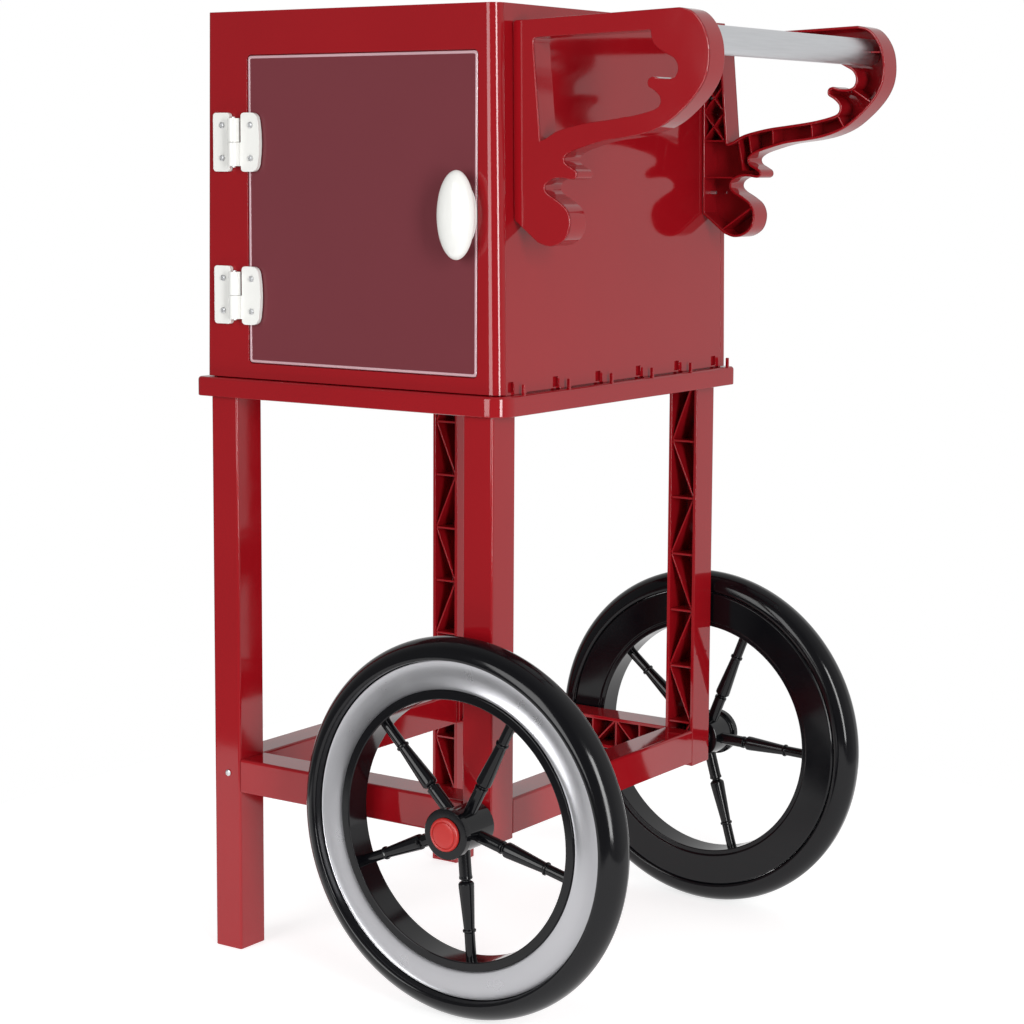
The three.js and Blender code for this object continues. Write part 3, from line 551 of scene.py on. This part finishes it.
def make_tray():
    """A deck with a hollow skirt, crossed ribs underneath and upright hooks along both sides."""
    low = TRAY_TOP - TRAY["thickness"]
    under_deck = TRAY_TOP - TRAY["deck"]
    inside = [(TRAY["skirt"], under_deck), (TRAY["skirt"], low + 0.8)]
    foot = [(2.4, low + 0.2), (1.6, low), (0.9, low), (0.3, low + 0.3), (0, low + 0.9)]
    top_edge = [(0, TRAY_TOP - 2.8), (0.2, TRAY_TOP - 1.7), (0.8, TRAY_TOP - 0.8), (1.7, TRAY_TOP - 0.2)]
    skin = [*inside, *foot, *top_edge, (2.8, TRAY_TOP)]
    meshes = [loft([(tray_outline(distance), z) for distance, z in skin])]
    rib_z = (low + 2, under_deck + 0.5)
    half = TRAY["rib"] / 2
    for share in (0.3, 0.7):
        x = TRAY_LOW.x * share
        meshes.append(box_mesh((x - half, x + half), (TRAY_LOW.y + 1, TRAY_HIGH.y - 1), rib_z))
    for share in (0.3, 0.5, 0.7):
        y = TRAY_HIGH.y * share
        meshes.append(box_mesh((TRAY_LOW.x + 1, TRAY["lap"] - 1), (y - half, y + half), rib_z))
    for i in range(HOOKS["count"]):
        y = HOOKS["first"] + i * HOOKS["pitch"]
        span = (y - HOOKS["width"] / 2, y + HOOKS["width"] / 2)
        z = (TRAY_TOP - 1, TRAY_TOP + HOOKS["height"])
        near, far = HOOKS["out"], HOOKS["out"] + HOOKS["thickness"]
        meshes.append(box_mesh((near, far), span, z, 0.5))
        meshes.append(box_mesh((-CABINET["width"] - far, -CABINET["width"] - near), span, z, 0.5))
    make_piece("tray", meshes, ["base_tray"])


make_tray()


# ---------------------------------------------------------------- legs and rails

LEG = {"width": 28, "depth": 30, "wall": 3, "corner": 2.2, "lip": 0.6}
RIB = {"thickness": 1.8, "inset": 1.5, "end": 3}
LEG_RIBS = {"below_tray": 48, "pitch": 50, "above_floor": 20}
RAIL = {"height": 28.6, "cross_pitch": 25, "side_pitch": 56}


def ribbed_channel(width, depth, length, stations):
    """A channel with its open side at y = 0, its length along Z from 0, and zigzag ribs inside."""
    wall = LEG["wall"]
    section = [(0, 0), (wall, 0), (wall, depth - wall), (width - wall, depth - wall), (width - wall, 0)]
    section += [(width, 0), (width, depth), (0, depth)]
    lip, corner = LEG["lip"], LEG["corner"]
    rounded = filleted(section, [lip] * 6 + [corner] * 2)
    outer = filleted(rectangle((0, width), (0, depth)), [lip, lip, corner, corner])
    meshes = [plate([rounded], 0, length, 0.7, LIE_FLAT, (0, 0, 1))]
    for z in (0, length - wall):
        meshes.append(plate([inset(outer, 0.2)], z + 0.1, z + wall - 0.1, 0.6, LIE_FLAT, (0, 0, 1)))
    y = (RIB["inset"], depth - wall + 0.5)
    left, right = wall - 0.5, width - wall + 0.5
    for index, z in enumerate(stations):
        if wall < z < length - wall:
            meshes.append(strip_mesh((left, z), (right, z), RIB["thickness"], y))
        if index + 1 < len(stations):
            start, end = (right, left) if index % 2 else (left, right)
            far = stations[index + 1]
            meshes.append(strip_mesh((start, far - 1), (end, z + 1), RIB["thickness"] * 0.8, y))
    return meshes


def make_leg(name, front):
    """The open side faces back at a front leg, and forwards at a back one."""
    low, high = local_box(name)
    length = high.z - low.z
    stations = [length - RIB["end"]]
    z = TRAY_TOP - TRAY["thickness"] - LEG_RIBS["below_tray"]
    while z > low.z + LEG_RIBS["above_floor"]:
        stations.append(z - low.z)
        z -= LEG_RIBS["pitch"]
    stations.append(RIB["end"])
    meshes = ribbed_channel(LEG["width"], LEG["depth"], length, stations)
    if front:
        turn = Matrix.Translation((high.x, high.y, low.z)) @ Matrix.Rotation(math.pi, 4, "Z")
    else:
        turn = Matrix.Translation((low.x, low.y, low.z))
    make_piece(f"{name}_shell", [placed(mesh, turn) for mesh in meshes], [name])


def even_stations(length, pitch):
    """Places along a channel that share its length evenly, about `pitch` apart."""
    count = round(length / pitch)
    return [RIB["end"] + i * (length - 2 * RIB["end"]) / count for i in range(count + 1)]


def make_cross_rail(name, front):
    """The open side faces the middle of the stand at the front rail, and forwards at the back one."""
    low, high = local_box(name)
    length = high.x - low.x
    meshes = ribbed_channel(RAIL["height"], LEG["depth"], length, even_stations(length, RAIL["cross_pitch"]))
    turn = Matrix.Rotation(math.pi / 2, 4, "Y")
    if front:
        turn = Matrix.Translation((low.x, high.y, low.z)) @ Matrix.Rotation(math.pi, 4, "X") @ turn
    else:
        turn = Matrix.Translation((low.x, low.y, high.z)) @ turn
    make_piece(f"{name}_shell", [placed(mesh, turn) for mesh in meshes], [name])


def make_side_rail(name):
    """Open underneath, with its length along Y."""
    low, high = local_box(name)
    length = high.y - low.y
    meshes = ribbed_channel(LEG["width"], RAIL["height"], length, even_stations(length, RAIL["side_pitch"]))
    face_down = Matrix(((-1, 0, 0, 0), (0, 0, 1, 0), (0, 1, 0, 0), (0, 0, 0, 1)))
    turn = Matrix.Translation((high.x, low.y, low.z)) @ face_down
    make_piece(f"{name}_shell", [placed(mesh, turn) for mesh in meshes], [name])


for side in ("left", "right"):
    make_leg(f"leg_front_{side}", True)
    make_leg(f"leg_back_{side}", False)
    make_side_rail(f"rail_{side}")
make_cross_rail("rail_front", True)
make_cross_rail("rail_back", False)


# ---------------------------------------------------------------- push handle

BRACKET = {"web": 2.5, "wall": 2.2, "thickness": 23, "edge": 0.8}
BAR = {"x": 143, "z": 752.5, "radius": 11, "bore": 9.6}
BOSS = {"radius": 9.2, "start": 1, "length": 13}
SCROLL = [
    (142, 773.6), (152, 771), (160, 763.5), (165.5, 753), (167.5, 741), (166.8, 730), (163.5, 720.5),
    (157, 711), (147, 701), (134, 691.2), (119, 684.8), (102, 681), (79, 678), (63, 674), (50.5, 670),
    (44, 665.5), (45, 661), (50, 658), (54.5, 655), (54.8, 651), (51, 649), (43, 650), (34.6, 649.6),
    (28, 646), (26.6, 641.5), (30, 637.5), (38, 633), (46, 627), (49.5, 619), (48.6, 610.5), (44.7, 604),
    (37, 599.6), (28.6, 598.7), (20, 601.5),
]
WINDOW = [
    (118, 758), (119.5, 750.5), (124, 745), (131.7, 740.7), (138.5, 736.8), (141.5, 731), (140, 725),
    (135, 722.6), (127, 722.8), (121, 724.4), (116.6, 722.6), (116.4, 717.6), (122, 714), (126.8, 709),
    (126, 703), (118.6, 699.7), (102, 696), (78.6, 692.8), (63, 690.8), (47, 687.6), (36, 684.4),
    (28, 680), (22, 677.7),
]
BRACKET_RIBS = [
    ((31, 688), (37, 655)), ((41, 692), (46, 662)), ((64, 696), (66, 670)), ((100, 701), (103, 676)),
    ((122, 706), (134, 686)), ((138, 722), (162, 707)), ((154, 752), (166, 752)), ((18, 605), (46, 624)),
    ((-2, 649), (32, 649)), ((-2, 680), (24, 680)),
]


def make_bracket(name, front):
    """A scrolled frame: a thin web with deep walls, ribs between them and a boss inside the bar.

    `front` is true where the web is at the front and the open side faces back.
    """
    low, high = local_box(name)
    outer_y = low.y if front else high.y
    inwards = 1 if front else -1

    def span(near, far):
        return sorted((outer_y + inwards * near, outer_y + inwards * far))

    outline = filleted([(-3.4, 768), *smooth_curve(SCROLL, 4), (-1.4, 618)], 3)
    window = filleted([(15, 755), *smooth_curve(WINDOW, 4)], 4)
    wall = BRACKET["wall"]
    walls = [outline, inset(outline, wall), inset(window, -wall), window]
    meshes = [
        plate([outline, window], *span(0, BRACKET["web"]), BRACKET["edge"]),
        plate(walls, *span(0.2, BRACKET["thickness"]), BRACKET["edge"]),
    ]
    rib_y = span(1, BRACKET["thickness"] - RIB["inset"])
    ribs = list(BRACKET_RIBS)
    for z in (680, 704, 728):
        ribs += [((-2, z), (18, z + 24)), ((18, z), (-2, z + 24))]
    middles = [inset(outline, wall * 0.6), inset(window, -wall * 0.6)]
    for start, end in ribs:
        meshes += [strip_mesh(a, b, 1.4, rib_y) for a, b in clipped(start, end, middles)]
    radius, start, length = BOSS["radius"], BOSS["start"], BOSS["length"]
    boss = lathe([(0, 0), (radius, 0), (radius, length), (0, length)], 48)
    boss.transform(Matrix.Translation((BAR["x"], span(start, start + length)[0], BAR["z"])))
    meshes.append(boss)
    make_piece(f"{name}_scroll", meshes, [name])


def make_bar():
    low, high = local_box("handle_bar")
    section = filleted(rectangle((BAR["bore"], BAR["radius"]), (low.y, high.y)), 0.4)
    tube = placed(lathe(section, 96, closed=True), Matrix.Translation((BAR["x"], 0, BAR["z"])))
    make_piece("push_bar", [tube], ["handle_bar"])


make_bracket("handle_bracket_front", True)
make_bracket("handle_bracket_back", False)
make_bar()


# ---------------------------------------------------------------- wheels

TYRE = [
    (133.2, 11), (134.6, 12.6), (137.5, 13), (141.5, 12), (145.3, 9.6), (148.2, 6), (149.7, 2.5),
    (150, 0), (149.4, -4.5), (147.6, -8.8), (144.4, -12.8), (140.5, -15.7), (137, -16.8),
    (134.3, -16.2), (133.2, -14),
]
TYRE_OUT = 16.8  # from y = 0 in these profiles to the tyre's outer side
RIM = [
    (102.5, 11.6), (106.4, 11.6), (107.4, 13), (131.6, 13), (132.9, 12), (132.9, 10), (106, 10),
    (106, -6.5), (109.8, -6.5), (109.8, -11.5), (102.5, -11.5),
]
DISH = [
    (132.9, -7.6), (132.2, -8.4), (131.2, -7.7), (127, -6.9), (121, -6.6), (115.5, -7.2), (111.8, -8.4),
    (110.1, -9.6),
]
SPOKE = [
    (0, 104), (4.2, 104), (4.2, 82), (5.3, 81.2), (5.3, 79.8), (4.3, 79), (6.2, 46), (6.2, 43.5),
    (5.4, 42.3), (3.7, 41.2), (3.7, 40.4), (5.3, 39.6), (5.3, 38), (5, 37), (5, 14), (0, 14),
]
HUB = {"radius": 17.5, "flange": 20, "out": -22.5, "bore": 12.2}
FRONT_SPOKES = (-85, -13.5, 62.5, 135.5, 203.5)
BACK_SPOKES = (254, 182, 112, 40, -32)


def eased(profile, radius):
    """An open profile, from axis to axis, with its corners rounded."""
    closed = filleted(profile, radius, 3)
    start = max(range(len(closed)), key=lambda i: (closed[i][0] < 1e-6, -i))
    return closed[start:] + closed[:start] if start else closed


def wheel_body_meshes(angles, hub_in):
    """The rim, the hub as far in as `hub_in`, and a turned spoke at each angle."""
    out = HUB["out"]
    hub = [(0, hub_in), (HUB["radius"], hub_in), (HUB["radius"], out + 7.5), (HUB["flange"], out + 6)]
    hub += [(HUB["flange"], out), (HUB["bore"], out), (HUB["bore"], out + 8), (0, out + 8)]
    meshes = [lathe(filleted(RIM, 0.9), 160, closed=True), lathe(eased(hub, 1.0), 96)]
    for angle in angles:
        spoke = lathe(eased(SPOKE, 0.5), 32)
        turn = Matrix.Rotation(-math.radians(angle), 4, "Y") @ Matrix.Rotation(-math.pi / 2, 4, "Z")
        meshes.append(placed(spoke, turn))
    return meshes


def hub_cap_mesh():
    """A shallow button with a groove around its disc and a socket that enters the hub."""
    face = HUB["out"] - 0.3
    disc = [(0, -3.1), (6, -3.05), (9.0, -2.9), (9.7, -2.5)]
    groove = [(10.0, -1.9), (10.5, -1.8), (10.8, -2.3)]
    brim = [(11.4, -2.5), (12.4, -2.2), (13.0, -1.5), (13.2, -0.8), (13.2, 0)]
    socket = [(11.9, 0), (11.9, 6), (10.2, 6), (10.2, 0.1), (0, 0.1)]
    return lathe([(radius, face + y) for radius, y in (*disc, *groove, *brim, *socket)], 96)


def make_wheel(side, angles, hub_in):
    """One wheel, with the outer side of its profiles away from the stand."""
    low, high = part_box(f"{side}_wheel_tyre")
    turn = Matrix.Identity(4)
    middle_y = low.y + TYRE_OUT * MM
    if side == "back":
        turn = Matrix.Rotation(math.pi, 4, "Z")
        middle_y = high.y - TYRE_OUT * MM
    centre = Vector(((low.x + high.x) / 2, middle_y, (low.z + high.z) / 2))
    place = Matrix.Translation(centre) @ turn @ Matrix.Scale(MM, 4)
    whitewall = [*smooth_curve(DISH, 4), (110.1, -5), (132.9, -4.6)]
    for name, profile in (("tyre", smooth_curve(TYRE, 4)), ("whitewall", whitewall)):
        ring = lathe(profile, 192, closed=True)
        make_piece(f"{side}_{name}", [ring], [f"{side}_wheel_{name}"], place=place, flats=False)
    body = wheel_body_meshes(angles, hub_in)
    make_piece(f"{side}_rim_and_spokes", body, [f"{side}_wheel_body"], place=place)
    make_piece(f"{side}_cap", [hub_cap_mesh()], [f"{side}_wheel_hub_cap"], place=place)


make_wheel("front", FRONT_SPOKES, 18.5)
make_wheel("back", BACK_SPOKES, 12)


# ---------------------------------------------------------------- door

DOOR = {"rim": 2.4, "corner": 3, "rim_corner": 1.5, "edge": 0.8}
SHEET = {"inset": 1, "recess": 0.35, "edge": 0.3}


def make_door():
    """A clear sheet inside a rim; the light that the sheet's cut edge catches is painted into the rim as a
    pale pink painted highlight.
    """
    low, high = local_box("door_panel")

    def panel_outline(margin, radius):
        x = (low.x + margin, high.x - margin)
        z = (low.z + margin, high.z - margin)
        return filleted(rectangle(x, z), radius)

    outside = panel_outline(0, DOOR["corner"])
    rim = plate([outside, panel_outline(DOOR["rim"], DOOR["rim_corner"])], low.y, high.y, DOOR["edge"])
    # The rim's pale pink is a painted highlight, in place of the light caught by the cut edge.
    make_piece("door_rim", [rim], ["door_panel"], material="door_rim_painted_highlight")
    y = (low.y + SHEET["recess"], high.y - SHEET["recess"])
    sheet = plate([inset(outside, SHEET["inset"])], *y, SHEET["edge"])
    # The sheet is drawn with painted shade: the cabinet's dim red inside, painted as a flat maroon.
    make_piece("door_sheet", [sheet], ["door_panel"])


def make_knob():
    """An oval grip, turned with a radius of 1 and then stretched to the size of its node."""
    low, high = local_box("door_knob")
    crown = [(0, -21.7), (0.3, -21.4), (0.58, -20.2), (0.79, -18.3), (0.92, -16), (0.985, -13.5)]
    neck = [(1, -11), (0.94, -8.8), (0.74, -7.6), (0.66, -5), (0.68, 0)]
    grip = lathe([*smooth_curve([*crown, *neck], 4), (0, 0)], 96)
    size = Matrix.Diagonal(((high.x - low.x) / 2, 1, (high.z - low.z) / 2, 1))
    centre = Matrix.Translation(((low.x + high.x) / 2, 0, (low.z + high.z) / 2))
    make_piece("knob", [placed(grip, size, centre)], ["door_knob"], flats=False)


make_door()
make_knob()


# ---------------------------------------------------------------- stage, light and camera


def make_floor():
    material, shader = new_material("floor")
    shader.inputs["Base Color"].default_value = (0.6, 0.6, 0.6, 1)
    shader.inputs["Roughness"].default_value = 0.9
    shader.inputs["Specular IOR Level"].default_value = 0.0
    shader.inputs["Emission Color"].default_value = (1, 1, 1, 1)
    shader.inputs["Emission Strength"].default_value = 0.7
    mesh = bpy.data.meshes.new("floor")
    reach = 0.7
    corners = [(-reach, -reach, 0), (reach, -reach, 0), (reach, reach, 0), (-reach, reach, 0)]
    mesh.from_pydata(corners, [], [(0, 1, 2, 3)])
    mesh.materials.append(material)
    floor = bpy.data.objects.new("floor", mesh)
    floor.location.z = -0.5 * MM
    bpy.context.scene.collection.objects.link(floor)


def softbox(name, azimuth, distance, centre_z, size, radiance):
    """A rectangular light at an angle from straight in front, towards +X, facing the stand."""
    data = bpy.data.lights.new(name, "AREA")
    data.shape = "RECTANGLE"
    data.size, data.size_y = size
    data.energy = radiance * math.pi * size[0] * size[1]
    light = bpy.data.objects.new(name, data)
    angle = math.radians(azimuth)
    light.location = (distance * math.sin(angle), -distance * math.cos(angle), centre_z)
    aim = Vector((0, 0, 0.45)) - light.location
    light.rotation_euler = aim.to_track_quat("-Z", "Y").to_euler()
    light.visible_camera = False
    bpy.context.scene.collection.objects.link(light)


def make_world():
    """A studio that is white behind and to the right, and dim in front; its backdrop is white."""
    world = bpy.data.worlds.new("studio")
    world.use_nodes = True
    nodes, links = world.node_tree.nodes, world.node_tree.links
    nodes.clear()
    output = nodes.new("ShaderNodeOutputWorld")
    surroundings = nodes.new("ShaderNodeBackground")
    backdrop = nodes.new("ShaderNodeBackground")
    surroundings.inputs["Color"].default_value = (1, 1, 1, 1)
    backdrop.inputs["Color"].default_value = (1, 1, 1, 1)
    place = nodes.new("ShaderNodeTexCoord")
    dot = nodes.new("ShaderNodeVectorMath")
    dot.operation = "DOT_PRODUCT"
    dot.inputs[1].default_value = (0.25, 0.95, 0.1)
    shades = nodes.new("ShaderNodeMapRange")
    shades.inputs["From Min"].default_value = -0.4
    shades.inputs["From Max"].default_value = 0.6
    shades.inputs["To Min"].default_value = 0.2
    shades.inputs["To Max"].default_value = 0.75
    path = nodes.new("ShaderNodeLightPath")
    mix = nodes.new("ShaderNodeMixShader")
    links.new(place.outputs["Generated"], dot.inputs[0])
    links.new(dot.outputs["Value"], shades.inputs["Value"])
    links.new(shades.outputs["Result"], surroundings.inputs["Strength"])
    links.new(path.outputs["Is Camera Ray"], mix.inputs["Fac"])
    links.new(surroundings.outputs["Background"], mix.inputs[1])
    links.new(backdrop.outputs["Background"], mix.inputs[2])
    links.new(mix.outputs["Shader"], output.inputs["Surface"])
    bpy.context.scene.world = world


CAMERA_PLACE = CORNER + Vector((1.0493, -1.5148, 0.6656))
CAMERA_YAW = math.radians(34.41)
CAMERA_DOWN = math.radians(6.64)
CAMERA_ROLL = math.radians(0.3)
CAMERA_LENS = 85.51
CAMERA_SHIFT = -0.0703


def make_camera():
    data = bpy.data.cameras.new("camera")
    data.lens = CAMERA_LENS
    data.sensor_width = 36
    data.shift_y = CAMERA_SHIFT
    data.clip_end = 100
    camera = bpy.data.objects.new("camera", data)
    turn = Matrix.Rotation(CAMERA_YAW, 4, "Z") @ Matrix.Rotation(math.radians(90) - CAMERA_DOWN, 4, "X")
    camera.matrix_world = Matrix.Translation(CAMERA_PLACE) @ turn @ Matrix.Rotation(CAMERA_ROLL, 4, "Z")
    bpy.context.scene.collection.objects.link(camera)
    bpy.context.scene.camera = camera


make_floor()
make_world()
softbox("left_softbox", -9, 2.6, 1.0, (1.25, 1.9), 5.0)
softbox("right_softbox", 58, 2.6, 0.8, (0.5, 1.8), 15.0)
make_camera()
bpy.context.scene.view_settings.view_transform = "Standard"

bpy.context.view_layer.update()
